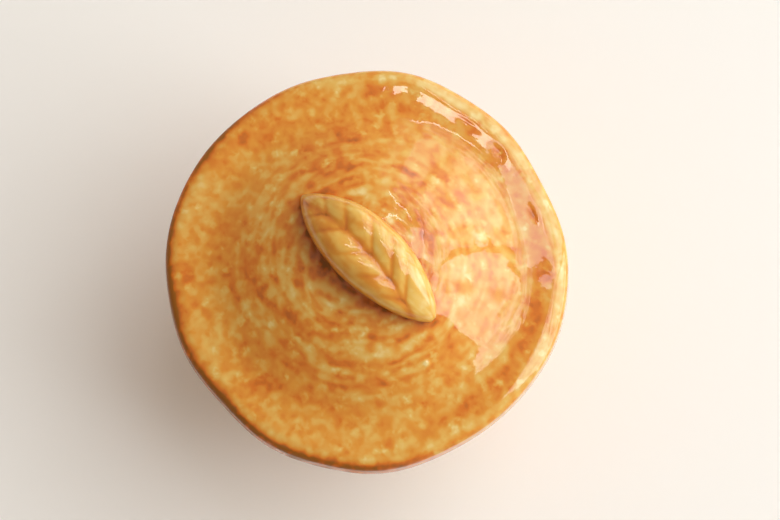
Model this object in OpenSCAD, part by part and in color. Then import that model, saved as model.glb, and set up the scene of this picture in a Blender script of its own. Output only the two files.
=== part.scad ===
// Lidded custard cup in honey-glazed stoneware.
// A round cup stands on a foot ring. Its lid is shaped like a pie crust, drops
// into the mouth on a locating ring, and is lifted by a leaf-shaped knob.
// Millimetres, +Z up. The origin is on the table, on the axis of the cup.
// The leaf lies along X, with its tip towards -X.

/* [Cup] */
// Height of the rim above the table
cup_h = 60; // [50:1:75]
// Outside diameter at the rim
rim_d = 91; // [86:1:91]
// Outside diameter where the side meets the foot
base_d = 60; // [54:1:66]
// Wall thickness at the rim
wall_t = 4.5; // [3.5:0.25:5]
// Floor thickness above the foot ring
floor_t = 5; // [4:0.5:7]
// Fullness of the side: 1 is a straight taper, more is rounder
belly = 2.4; // [1.2:0.1:3.5]

/* [Foot ring] */
// Height of the foot ring
foot_h = 4.5; // [3:0.5:7]
// Width of the ring across its wall
foot_w = 4; // [3:0.5:6]

/* [Lid] */
// Mean diameter across the crust
lid_d = 100; // [100:1:108]
// Thickness of the crust above the seat, at the brim
brim_t = 6.5; // [5.5:0.5:8]
// Rise of the crown above the brim
crown_h = 9; // [6:0.5:12]
// Diameter at which the crown runs out into the brim
crown_d = 75; // [70:1:80]
// Diameter at which the crown's rounded top turns over into its slope
crown_top_d = 37; // [30:1:40]
// Thickness of the crown's shell
shell_t = 5; // [4:0.5:6]
// How far the crust hangs below the rim of the cup
drape = 1.5; // [0.5:0.25:3]
// Depth of the four hand-pressed flats in the outline
flat_depth = 1; // [0:0.1:1.4]
// How much longer than wide the hand-shaped outline is
oval_depth = 0.6; // [0:0.1:0.8]
// Depth of the small ripples in the outline
ripple_depth = 0.3; // [0:0.05:0.3]

/* [Locating ring] */
// Depth of the ring below the seat
ring_h = 6; // [4:0.5:9]
// Width of the ring across its wall
ring_w = 4; // [3:0.25:5]
// Clearance to the mouth of the cup, on the radius
ring_clear = 0.8; // [0.5:0.1:1.5]

/* [Leaf knob] */
// Length of the leaf from tip to base
leaf_l = 44; // [38:1:48]
// Width of the leaf
leaf_w = 17; // [16:0.5:19]
// Thickness of the leaf in the middle
leaf_t = 8.5; // [7:0.5:11]
// Gap between the ends of the leaf and the lid
tip_gap = 0.5; // [0.4:0.1:3]
// How far the leaf was set to one side of the axis
leaf_off = 0.5; // [0:0.1:1]
// Height of the stem between the lid and the leaf
stem_h = 4; // [3.5:0.25:6]
// Distance between the side veins along the midrib
vein_pitch = 7.1; // [5.5:0.1:8]
// Depth of the valley pressed along the midrib
valley_depth = 1.1; // [0.4:0.1:1.4]
// Depth of the pressed side veins
vein_depth = 0.5; // [0.2:0.1:0.8]

/* [Hidden] */

round_segments = 128;

// Cup
base_r = base_d / 2;
rim_r = rim_d / 2;
mouth_r = rim_r - wall_t;
hip_t = 6;
floor_r = base_r - hip_t;
floor_z = foot_h + floor_t;
lip_r = 1.2;
side_steps = 20;
lip_steps = 5;

// Foot ring
foot_inset = 0.5;
foot_top_r = base_r - foot_inset;
foot_taper = 1;
foot_bevel = 0.7;

// Lid
seat_z = cup_h;
lid_r = lid_d / 2;
crown_r = crown_d / 2;
brim_z = seat_z + brim_t;
land_r = 11.5;
shoulder_r = crown_top_d / 2;
foot_blend = 1.8;
shoulder_blend = 2.2;
crown_slope = crown_h / (crown_r - shoulder_r);
edge_top_r = 2;
edge_turn = 60;
edge_lean = 0.35;
edge_rise = 1.2;
edge_z = seat_z + edge_rise;
edge_low_r = 2.2;
drape_clear = 0.9;
land_z = brim_z + crown_rise(land_r);
lid_segments = 90;
crown_steps = 16;
edge_steps = 4;
flat_count = 4;
flat_turn = 33;
oval_turn = 155;
ripple_counts = [5, 9, 11];
ripple_turns = [156, 48, -113];

// Locating ring
ring_r = mouth_r - ring_clear;
ring_bore_r = ring_r - ring_w;
ring_taper = 0.5;
hollow_r = ring_bore_r - 1;

// Leaf knob
stem_top_z = land_z + stem_h;
leaf_droop = stem_top_z - lid_top(leaf_l / 2) - tip_gap;
leaf_flat = 0.28;
stem_inset = 0.6;
stem_share = 0.3;
stem_foot = [11, 10.4];
stem_waist = [5, 4.4];
stem_head = [leaf_flat * leaf_l / 2 - stem_inset, stem_share * leaf_w];
stem_waist_at = 0.65;
stem_segments = 48;
stem_steps = 7;
leaf_edge_t = 3;
leaf_point = 0.76;
leaf_skew = 0.06;
bend_power = 1.5;
under_round = 1.5;
edge_thinning = 0.5;
crown_thinning = 0.6;
leaf_stations = 56;
leaf_sides = 28;
leaf_end = 0.985;
valley_w = 2.4;
vein_w = 1.2;
vein_angle = 45;
vein_shift = 2;

glaze_colour = "#D0903F";
leaf_colour = "#DDAE5C";
clay_colour = "#C9AE8A";

// A closed solid through a list of rings with equal numbers of points.
module loft(rings) {
    n = len(rings[0]);
    last = len(rings) - 1;
    sides = [
        for (j = [0 : last - 1], i = [0 : n - 1])
            let (a = j * n + i, b = j * n + (i + 1) % n)
            each [[a, b + n, b], [a, a + n, b + n]]
    ];
    first_cap = [for (i = [0 : n - 1]) i];
    last_cap = [for (i = [n - 1 : -1 : 0]) last * n + i];
    polyhedron([for (ring = rings) each ring], [first_cap, each sides, last_cap], convexity = 6);
}

// Radius of the cup's side, a share t of the way up from r0 to r1.
function side_r(r0, r1, t) = r0 + (r1 - r0) * (1 - pow(1 - t, belly));

// One face of the cup's side, from z0 up to the lip.
function side_points(r0, r1, z0) = [
    for (i = [0 : side_steps])
        let (t = i / side_steps)
        [side_r(r0, r1, t), z0 + t * (cup_h - lip_r - z0)]
];

// Quarter round at the lip, about the centre c, from angle a0 to a1.
function lip_points(c, a0, a1) = [
    for (i = [1 : lip_steps])
        let (a = a0 + (a1 - a0) * i / lip_steps)
        [c[0] + lip_r * cos(a), c[1] + lip_r * sin(a)]
];

// Thrown cup: floor, full side, and a flat rim with rounded edges.
module cup_body() {
    lip_z = cup_h - lip_r;
    outside = side_points(base_r, rim_r, foot_h);
    inside = side_points(floor_r, mouth_r, floor_z);
    color(glaze_colour)
    rotate_extrude($fn = round_segments)
    polygon([
        [0, foot_h],
        each outside,
        each lip_points([rim_r - lip_r, lip_z], 0, 90),
        [mouth_r + lip_r, cup_h],
        each lip_points([mouth_r + lip_r, lip_z], 90, 180),
        each [for (i = [1 : side_steps]) inside[side_steps - i]],
        [0, floor_z]
    ]);
}

// Bare clay ring that the cup stands on.
module foot_ring() {
    foot_r = foot_top_r - foot_taper;
    bore_r = foot_top_r - foot_w;
    color(clay_colour)
    rotate_extrude($fn = round_segments)
    polygon([
        [bore_r + foot_bevel, 0],
        [foot_r - foot_bevel, 0],
        [foot_r, foot_bevel],
        [foot_top_r, foot_h],
        [bore_r, foot_h],
        [bore_r, foot_bevel]
    ]);
}

// A ramp that is 0 below x = 0 and x above it, rounded over about the width w.
function soft_ramp(x, w) = w * ln(1 + exp(x / w));

// Height of the crown above the brim: a cone with a soft foot and a rounded top.
function crown_rise(r) = crown_slope
    * (soft_ramp(crown_r - r, foot_blend) - soft_ramp(shoulder_r - r, shoulder_blend));

// Height of the lid's top face at radius r.
function lid_top(r) = brim_z + crown_rise(max(r, land_r));

// Sum of the small ripples in the direction a, from the one numbered i on.
function ripples(a, i = 0) = i == len(ripple_counts)
    ? 0
    : ripple_depth / 2 * cos(ripple_counts[i] * a - ripple_turns[i]) + ripples(a, i + 1);

// Radius of the hand-shaped outline in the direction a.
function outline_r(a) =
    lid_r
    + oval_depth / 2 * cos(2 * (a - oval_turn))
    + flat_depth / 2 * cos(flat_count * (a - flat_turn))
    + ripples(a);

// The lid's section in the direction a, from the top of the crown round the
// edge to the inside of the crown.
function lid_section(a) =
    let (
        r = outline_r(a),
        brim_r = r - edge_lean - edge_top_r * sin(edge_turn),
        wall_r = rim_r + drape_clear
    )
    [
        for (i = [0 : crown_steps])
            let (s = land_r + (brim_r - land_r) * i / crown_steps)
            [s, lid_top(s)],
        for (i = [1 : edge_steps])
            let (t = edge_turn * i / edge_steps)
            [brim_r + edge_top_r * sin(t), lid_top(brim_r) - edge_top_r * (1 - cos(t))],
        for (i = [0 : edge_steps])
            let (t = 90 * i / edge_steps)
            [r - edge_low_r * (1 - cos(t)), edge_z - (edge_z - seat_z + drape) * sin(t)],
        [wall_r, seat_z - drape / 2],
        [wall_r, seat_z],
        [ring_bore_r, seat_z],
        for (i = [crown_steps : -2 : 0])
            let (s = land_r + (hollow_r - land_r) * i / crown_steps)
            [s, lid_top(s) - shell_t]
    ];

// Pie-crust lid: a crowned shell with a thick edge, rounded over at its top.
module lid_crust() {
    sections = [
        for (i = [0 : lid_segments - 1])
            let (a = 360 * i / lid_segments)
            [for (p = lid_section(a)) [p[0] * cos(a), p[0] * sin(a), p[1]]]
    ];
    color(glaze_colour)
    loft([for (j = [0 : len(sections[0]) - 1]) [for (s = sections) s[j]]]);
}

// Ring under the lid that drops into the mouth of the cup.
module lid_locating_ring() {
    color(clay_colour)
    rotate_extrude($fn = round_segments)
    polygon([
        [ring_bore_r, seat_z],
        [ring_r, seat_z],
        [ring_r - ring_taper, seat_z - ring_h + ring_taper],
        [ring_r - 2 * ring_taper, seat_z - ring_h],
        [ring_bore_r + ring_taper, seat_z - ring_h],
        [ring_bore_r, seat_z - ring_h + ring_taper]
    ]);
}

// Half-lengths of the stem's oval section, a share t of the way up.
function stem_oval(t) = t < stem_waist_at
    ? stem_waist + (stem_foot - stem_waist) * pow(1 - t / stem_waist_at, 2)
    : stem_waist + (stem_head - stem_waist) * pow((t - stem_waist_at) / (1 - stem_waist_at), 2);

// Oval stem that flares out where it is joined to the lid and to the leaf.
module knob_stem() {
    color(leaf_colour)
    loft([
        for (j = [stem_steps : -1 : 0])
            let (oval = stem_oval(j / stem_steps))
            [
                for (i = [0 : stem_segments - 1])
                    let (a = 360 * i / stem_segments)
                    [oval[0] * cos(a), oval[1] * sin(a), land_z + stem_h * j / stem_steps]
            ]
    ]);
}

// Half-width of the leaf at u, which runs from -1 at its tip to 1 at its base.
function leaf_half_w(u) = leaf_w / 2 * pow(1 - u * u, leaf_point - leaf_skew * u);

// How far the leaf has bent down at u: the middle stays flat.
function leaf_bend(u) = leaf_droop * pow(max(0, abs(u) - leaf_flat) / (1 - leaf_flat), bend_power);

// Depth of the pressed valley and side veins at x, y.
function vein_at(x, y) =
    let (
        q = x - vein_shift + abs(y) / tan(vein_angle),
        off = abs(q - vein_pitch * round(q / vein_pitch)) * sin(vein_angle)
    )
    valley_depth * exp(-pow(y / valley_w, 2)) + vein_depth * exp(-pow(off / vein_w, 2));

// The leaf's section at u: a flat underside, rounded sides and a crowned top.
function leaf_section(u) =
    let (
        half_w = leaf_half_w(u),
        full = half_w / (leaf_w / 2),
        low_t = leaf_edge_t * pow(full, edge_thinning),
        top_t = (leaf_t - leaf_edge_t) * pow(full, crown_thinning),
        under_z = stem_top_z - leaf_bend(u),
        x = u / leaf_end * leaf_l / 2
    )
    [
        for (i = [0 : leaf_sides - 1])
            let (
                b = 360 * i / leaf_sides,
                y = half_w * cos(b),
                up = sin(b),
                press = vein_at(x, y) * full * sqrt(max(up, 0)),
                z = up > 0 ? top_t * up - press : under_round * low_t * up
            )
            [x, y, under_z + max(0, low_t + z)]
    ];

// Leaf that is pinched to lift the lid.
module leaf_knob() {
    color(leaf_colour)
    translate([0, leaf_off, 0])
    loft([
        for (j = [0 : leaf_stations])
            leaf_section(leaf_end * sin(90 * (2 * j / leaf_stations - 1)))
    ]);
}

cup_body();
foot_ring();
lid_crust();
lid_locating_ring();
knob_stem();
leaf_knob();
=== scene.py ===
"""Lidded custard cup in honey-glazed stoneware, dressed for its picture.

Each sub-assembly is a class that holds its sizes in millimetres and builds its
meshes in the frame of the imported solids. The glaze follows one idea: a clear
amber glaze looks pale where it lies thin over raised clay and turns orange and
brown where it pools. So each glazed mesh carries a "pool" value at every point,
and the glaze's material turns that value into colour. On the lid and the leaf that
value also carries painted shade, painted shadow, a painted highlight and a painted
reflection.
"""

import logging
import math
from dataclasses import dataclass
from enum import Enum

import bmesh
import bpy
import numpy as np
from mathutils import Matrix, Vector

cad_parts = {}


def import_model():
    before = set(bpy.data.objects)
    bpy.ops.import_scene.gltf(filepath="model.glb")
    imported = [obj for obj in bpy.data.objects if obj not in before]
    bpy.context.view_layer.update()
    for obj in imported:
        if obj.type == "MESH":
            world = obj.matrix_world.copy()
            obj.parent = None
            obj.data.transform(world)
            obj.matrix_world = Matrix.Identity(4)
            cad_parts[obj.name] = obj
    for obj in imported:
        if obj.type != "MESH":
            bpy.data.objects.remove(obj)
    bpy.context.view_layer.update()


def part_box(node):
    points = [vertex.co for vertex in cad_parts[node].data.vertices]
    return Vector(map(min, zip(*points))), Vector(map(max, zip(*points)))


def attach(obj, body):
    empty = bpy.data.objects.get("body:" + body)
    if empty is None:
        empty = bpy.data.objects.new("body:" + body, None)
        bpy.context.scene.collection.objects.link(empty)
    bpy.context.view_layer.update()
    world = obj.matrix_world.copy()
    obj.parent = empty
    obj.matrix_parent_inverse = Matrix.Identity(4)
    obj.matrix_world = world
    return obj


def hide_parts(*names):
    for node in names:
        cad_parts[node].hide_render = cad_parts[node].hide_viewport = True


MM = 0.001
POOL = "pool"
TURN = 2.0 * math.pi
# How many rings lie along each side of a section with corners.
SIDE_RINGS = 6
# An area light's power is its radiance times its area times this.
AREA_GAIN = 4.0

log = logging.getLogger("custard_cup")

Colour = tuple[float, float, float, float]
Span = tuple[float, float]
Stops = tuple[tuple[float, str], ...]
Inputs = dict[str | int, object]


class Body(Enum):
    """The rigid bodies that pieces ride on."""

    CUP = "cup"
    LID = "lid"


class Slot(Enum):
    """The record's material slots."""

    HONEY = "honey_glaze"
    LEAF = "leaf_glaze"
    CLAY = "bare_stoneware"


def linear(hex_code: str) -> Colour:
    """Turn an sRGB hex code into a linear colour.

    Args:
        hex_code: Six hex digits after a hash.

    Returns:
        Linear red, green and blue, with an alpha of 1.
    """
    channels = [int(hex_code[i : i + 2], 16) / 255.0 for i in (1, 3, 5)]
    red, green, blue = (
        c / 12.92 if c <= 0.04045 else ((c + 0.055) / 1.055) ** 2.4 for c in channels
    )
    return red, green, blue, 1.0


def per_metre(size_mm: float) -> float:
    """Give the texture scale at which one pattern cell is size_mm across."""
    return 1.0 / (size_mm * MM)


def smooth_step(low: float, high: float, value: np.ndarray) -> np.ndarray:
    """Rise smoothly from 0 at low to 1 at high."""
    share = np.clip((value - low) / (high - low), 0.0, 1.0)
    return share * share * (3.0 - 2.0 * share)


def hump(centre: float, width: float, value: np.ndarray) -> np.ndarray:
    """Give a bell curve of height 1 about a centre."""
    return np.exp(-(((value - centre) / width) ** 2))


def feed(tree: bpy.types.NodeTree, node: bpy.types.Node, inputs: Inputs) -> None:
    """Set or link the inputs of a node.

    Args:
        tree: The node tree that holds the node.
        node: The node.
        inputs: A value, or a socket to link from, for each input.
    """
    for name, value in inputs.items():
        if isinstance(value, bpy.types.NodeSocket):
            tree.links.new(value, node.inputs[name])
        else:
            node.inputs[name].default_value = value


def add_node(
    tree: bpy.types.NodeTree,
    kind: str,
    inputs: Inputs | None = None,
    stops: Stops = (),
    **settings: object,
) -> bpy.types.Node:
    """Add a shader node with its settings, values and links.

    Args:
        tree: The material's, light's or world's node tree.
        kind: Blender's type name of the node.
        inputs: A value, or a socket to link from, for each input.
        stops: The place and colour of each stop, where the node is a colour ramp.
        settings: Properties of the node itself.

    Returns:
        The new node.
    """
    node = tree.nodes.new(kind)
    for name, value in settings.items():
        setattr(node, name, value)
    feed(tree, node, inputs or {})
    if stops:
        elements = node.color_ramp.elements
        while len(elements) < len(stops):
            elements.new(1.0)
        for element, (at, code) in zip(elements, stops):
            element.position = at
            element.color = linear(code)
    return node


@dataclass(frozen=True)
class Dabs:
    """One layer of soft dabs in the glaze.

    A noise of the given size adds nothing below start and the whole share above
    full, so a high start leaves a few separate dabs.
    """

    size_mm: float
    start: float
    full: float
    share: float


@dataclass(frozen=True)
class Specks:
    """One layer of small specks, where the glaze broke over grit in the clay.

    The bend pulls each speck out of round.
    """

    spacing_mm: float
    radius_mm: float
    bend_mm: float
    share: float


@dataclass(frozen=True)
class AmberGlaze:
    """Clear amber glaze, fired glossy over stoneware.

    The eye sees a hard wet shine over a softer warm depth, pale yellow where the
    glaze ran thin and orange to brown where it pooled. The thickest, darkest glaze
    has fired dull.
    """

    name: str
    stops: Stops
    dabs: tuple[Dabs, ...]
    specks: tuple[Specks, ...] = ()
    dab_detail: float = 0.6
    detail: float = 1.0
    drift_mm: float = 26.0
    drift_tint: str = "#E48A2C"
    drift_share: float = 0.3
    ripple_mm: float = 1.7
    ripple_height_mm: float = 0.012
    roughness: float = 0.3
    ior: float = 1.5
    depth_shine: float = 0.1
    coat_roughness: float = 0.035
    coat_ior: float = 1.6
    dull_start: float = 0.84
    dull_full: float = 0.96
    dull_coat: float = 0.2

    def material(self) -> bpy.types.Material:
        """Build the glaze.

        Returns:
            The material, which reads the mesh's pool value.
        """
        made = bpy.data.materials.new(self.name)
        made.use_nodes = True
        tree = made.node_tree
        shader = tree.nodes["Principled BSDF"]
        place = add_node(tree, "ShaderNodeTexCoord").outputs["Object"]
        depth = add_node(tree, "ShaderNodeAttribute", attribute_name=POOL).outputs["Fac"]
        coat = add_node(
            tree,
            "ShaderNodeMapRange",
            {
                "Value": depth,
                "From Min": self.dull_start,
                "From Max": self.dull_full,
                "To Min": 1.0,
                "To Max": self.dull_coat,
            },
        )
        for layer in self.dabs:
            noise = add_node(
                tree,
                "ShaderNodeTexNoise",
                {
                    "Vector": place,
                    "Scale": per_metre(layer.size_mm),
                    "Detail": self.dab_detail,
                },
            )
            dab = add_node(
                tree,
                "ShaderNodeMapRange",
                {
                    "Value": noise.outputs["Fac"],
                    "From Min": layer.start,
                    "From Max": layer.full,
                    "To Max": layer.share,
                },
                interpolation_type="SMOOTHSTEP",
            )
            depth = add_node(
                tree, "ShaderNodeMath", {0: depth, 1: dab.outputs[0]}, operation="ADD"
            ).outputs[0]
        for layer in self.specks:
            bend = add_node(
                tree,
                "ShaderNodeTexNoise",
                {"Vector": place, "Scale": per_metre(layer.radius_mm), "Detail": self.detail},
            )
            bent = add_node(
                tree,
                "ShaderNodeVectorMath",
                {0: bend.outputs["Color"], 1: (layer.bend_mm * MM,) * 3, 2: place},
                operation="MULTIPLY_ADD",
            )
            cells = add_node(
                tree,
                "ShaderNodeTexVoronoi",
                {"Vector": bent.outputs[0], "Scale": per_metre(layer.spacing_mm)},
            )
            speck = add_node(
                tree,
                "ShaderNodeMapRange",
                {
                    "Value": cells.outputs["Distance"],
                    "From Min": layer.radius_mm / layer.spacing_mm,
                    "From Max": 0.0,
                    "To Max": layer.share,
                },
                interpolation_type="SMOOTHSTEP",
            )
            depth = add_node(
                tree,
                "ShaderNodeMath",
                {0: speck.outputs[0], 1: cells.outputs["Color"], 2: depth},
                operation="MULTIPLY_ADD",
            ).outputs[0]
        ramp = add_node(tree, "ShaderNodeValToRGB", {"Fac": depth}, self.stops)
        drift = add_node(
            tree,
            "ShaderNodeTexNoise",
            {"Vector": place, "Scale": per_metre(self.drift_mm), "Detail": self.detail},
        )
        drift_share = add_node(
            tree,
            "ShaderNodeMath",
            {0: drift.outputs["Fac"], 1: self.drift_share},
            operation="MULTIPLY",
        )
        warmed = add_node(
            tree,
            "ShaderNodeMix",
            {0: drift_share.outputs[0], 6: ramp.outputs["Color"], 7: linear(self.drift_tint)},
            data_type="RGBA",
        )
        ripple = add_node(
            tree,
            "ShaderNodeTexNoise",
            {"Vector": place, "Scale": per_metre(self.ripple_mm), "Detail": self.detail},
        )
        bump = add_node(
            tree,
            "ShaderNodeBump",
            {
                "Height": ripple.outputs["Fac"],
                "Strength": 1.0,
                "Distance": self.ripple_height_mm * MM,
            },
        )
        feed(
            tree,
            shader,
            {
                "Base Color": warmed.outputs[2],
                "Normal": bump.outputs["Normal"],
                "Roughness": self.roughness,
                "IOR": self.ior,
                "Specular IOR Level": self.depth_shine,
                "Coat Normal": bump.outputs["Normal"],
                "Coat Weight": coat.outputs[0],
                "Coat Roughness": self.coat_roughness,
                "Coat IOR": self.coat_ior,
            },
        )
        return made


@dataclass(frozen=True)
class BareStoneware:
    """Unglazed buff stoneware, turned on the wheel and fired.

    The eye sees a dry matt skin with a sandy grain and small brown specks. The
    grain is drawn a little coarser than real grog so that it shows.
    """

    name: str = "bare_buff_stoneware"
    body: str = "#C9AE8A"
    shade: str = "#B08E66"
    speck: str = "#6E4A2C"
    patch_mm: float = 9.0
    patch_detail: float = 4.0
    grain_mm: float = 0.7
    grain_detail: float = 3.0
    speck_mm: float = 1.6
    speck_reach: float = 0.16
    grain_height_mm: float = 0.05
    roughness: float = 0.86
    ior: float = 1.5

    def material(self) -> bpy.types.Material:
        """Build the bare clay.

        Returns:
            The material.
        """
        made = bpy.data.materials.new(self.name)
        made.use_nodes = True
        tree = made.node_tree
        shader = tree.nodes["Principled BSDF"]
        place = add_node(tree, "ShaderNodeTexCoord").outputs["Object"]
        patches = add_node(
            tree,
            "ShaderNodeTexNoise",
            {
                "Vector": place,
                "Scale": per_metre(self.patch_mm),
                "Detail": self.patch_detail,
            },
        )
        grain = add_node(
            tree,
            "ShaderNodeTexNoise",
            {
                "Vector": place,
                "Scale": per_metre(self.grain_mm),
                "Detail": self.grain_detail,
            },
        )
        toned = add_node(
            tree,
            "ShaderNodeMix",
            {0: patches.outputs["Fac"], 6: linear(self.body), 7: linear(self.shade)},
            data_type="RGBA",
        )
        cells = add_node(
            tree,
            "ShaderNodeTexVoronoi",
            {"Vector": place, "Scale": per_metre(self.speck_mm)},
        )
        speck = add_node(
            tree,
            "ShaderNodeMath",
            {0: cells.outputs["Distance"], 1: self.speck_reach},
            operation="LESS_THAN",
        )
        colour = add_node(
            tree,
            "ShaderNodeMix",
            {0: speck.outputs[0], 6: toned.outputs[2], 7: linear(self.speck)},
            data_type="RGBA",
        )
        bump = add_node(
            tree,
            "ShaderNodeBump",
            {
                "Height": grain.outputs["Fac"],
                "Strength": 1.0,
                "Distance": self.grain_height_mm * MM,
            },
        )
        feed(
            tree,
            shader,
            {
                "Base Color": colour.outputs[2],
                "Normal": bump.outputs["Normal"],
                "Roughness": self.roughness,
                "IOR": self.ior,
            },
        )
        return made


@dataclass(frozen=True)
class Marks:
    """One layer of marks in the clay or glaze.

    Along is the half-length of a mark round its ring, across is its half-width from
    ring to ring, and share is how much of the layer is laid on.
    """

    along: float
    across: float
    share: float


@dataclass
class ClayNoise:
    """Seeded marks on a stack of rings, blurred to real lengths."""

    seed: int
    blur_reach: float = 3.0

    def __post_init__(self) -> None:
        """Start the generator."""
        self.rng = np.random.default_rng(self.seed)

    def marks(
        self, radii: np.ndarray, columns: int, step: float, layer: Marks
    ) -> np.ndarray:
        """Draw one layer of marks, before its share is taken.

        Args:
            radii: Radius of each ring.
            columns: Points round each ring.
            step: Distance between rings.
            layer: The size of its marks.

        Returns:
            One value per point, with a mean of 0 and a spread of 1 on each ring.
        """
        pad = int(self.blur_reach * layer.across / step) + 1
        raw = self.rng.standard_normal((len(radii) + 2 * pad, columns))
        reach = np.arange(-pad, pad + 1) * step
        kernel = np.exp(-0.5 * (reach / layer.across) ** 2)
        field = sum(
            weight * raw[i : i + len(radii)] for i, weight in enumerate(kernel)
        )
        waves = np.arange(columns // 2 + 1)
        gain = np.exp(-0.5 * np.outer(layer.along / radii, waves) ** 2)
        field = np.fft.irfft(np.fft.rfft(field, axis=1) * gain, columns, axis=1)
        field -= field.mean(axis=1, keepdims=True)
        return field / field.std(axis=1, keepdims=True)


def sway(field: np.ndarray, rows: np.ndarray) -> np.ndarray:
    """Shift a field across its rings by a varying number of rows.

    Args:
        field: The values, ring by ring.
        rows: How many rows each point looks aside.

    Returns:
        The shifted field.
    """
    count, columns = field.shape
    nearly_last = count - 1.001
    at = np.clip(np.arange(count)[:, None] + rows, 0, nearly_last)
    low = at.astype(int)
    share = at - low
    column = np.arange(columns)[None, :]
    return field[low, column] * (1.0 - share) + field[low + 1, column] * share


def grid_mesh(
    name: str,
    points: np.ndarray,
    pool: np.ndarray | None = None,
    bare_rows: np.ndarray | None = None,
    loop: bool = False,
) -> bpy.types.Mesh:
    """Skin a stack of closed rings of points.

    Args:
        name: The mesh's name.
        points: Rings by points by x, y, z, in millimetres.
        pool: The glaze's pool value at each point.
        bare_rows: For each strip between two rings, whether it is bare clay.
        loop: True where the last ring joins the first; otherwise both ends are capped.

    Returns:
        The mesh, in metres, smooth, with its faces turned outwards.
    """
    rows, columns = points.shape[:2]
    strips = np.arange(rows if loop else rows - 1)[:, None]
    here = np.arange(columns)[None, :]
    beside = (here + 1) % columns
    above = (strips + 1) % rows
    quads = np.stack(
        [
            strips * columns + here,
            strips * columns + beside,
            above * columns + beside,
            above * columns + here,
        ],
        axis=-1,
    ).reshape(-1, 4)
    faces = quads.tolist()
    flat = points.reshape(-1, 3)
    values = np.zeros(rows * columns) if pool is None else pool.reshape(-1)
    if not loop:
        ends = np.array([points[0].mean(axis=0), points[-1].mean(axis=0)])
        first_hub = len(flat)
        last_row = (rows - 1) * columns
        flat = np.concatenate([flat, ends])
        values = np.concatenate([values, [values[0], values[-1]]])
        for i in range(columns):
            j = (i + 1) % columns
            faces.append([first_hub, j, i])
            faces.append([first_hub + 1, last_row + i, last_row + j])
    mesh = bpy.data.meshes.new(name)
    mesh.from_pydata((flat * MM).tolist(), [], faces)
    if pool is not None:
        attribute = mesh.attributes.new(POOL, "FLOAT", "POINT")
        attribute.data.foreach_set("value", values.astype(np.float32))
    if bare_rows is not None:
        bare = np.zeros(len(faces), np.int32)
        bare[: len(quads)] = np.repeat(bare_rows.astype(np.int32), columns)
        mesh.polygons.foreach_set("material_index", bare)
    shape = bmesh.new()
    shape.from_mesh(mesh)
    bmesh.ops.recalc_face_normals(shape, faces=shape.faces)
    shape.to_mesh(mesh)
    shape.free()
    mesh.shade_smooth()
    return mesh


def turned(section: np.ndarray, columns: int, swell: np.ndarray | float = 0.0) -> np.ndarray:
    """Turn a section about the upright axis.

    Args:
        section: Radius and height of each ring.
        columns: Points round each ring.
        swell: What is added to the radius at each point.

    Returns:
        Rings by points by x, y, z.
    """
    angle = np.arange(columns) * TURN / columns
    radius = section[:, :1] + swell + np.zeros((len(section), columns))
    height = np.broadcast_to(section[:, 1:], radius.shape)
    return np.stack([radius * np.cos(angle), radius * np.sin(angle), height], axis=-1)


def ring_section(corners: list[Span]) -> np.ndarray:
    """Go round a closed section with corners.

    Args:
        corners: Radius and height of each corner, in order.

    Returns:
        Radius and height of each ring, with several along each side.
    """
    section = []
    for (r0, z0), (r1, z1) in zip(corners, corners[1:] + corners[:1]):
        for share in np.arange(SIDE_RINGS) / SIDE_RINGS:
            section.append((r0 + (r1 - r0) * share, z0 + (z1 - z0) * share))
    return np.array(section)


def place_piece(
    mesh: bpy.types.Mesh, body: Body, materials: list[bpy.types.Material]
) -> bpy.types.Object:
    """Put a mesh in the scene as the piece that stands for the node of its name.

    Args:
        mesh: The finished mesh, named after its node with "_skin" added.
        body: The body that it rides on.
        materials: Its main finish, then the bare clay where it has any.

    Returns:
        The new object.
    """
    piece = bpy.data.objects.new(mesh.name, mesh)
    bpy.context.scene.collection.objects.link(piece)
    for material in materials:
        mesh.materials.append(material)
    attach(piece, body.value)
    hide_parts(mesh.name.removesuffix("_skin"))
    log.info("%s: %d faces on %s", piece.name, len(mesh.polygons), body.value)
    return piece


def node_box(node: str) -> tuple[Vector, Vector]:
    """Give a node's lowest and highest corners in millimetres."""
    low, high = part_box(node)
    return low / MM, high / MM


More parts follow.
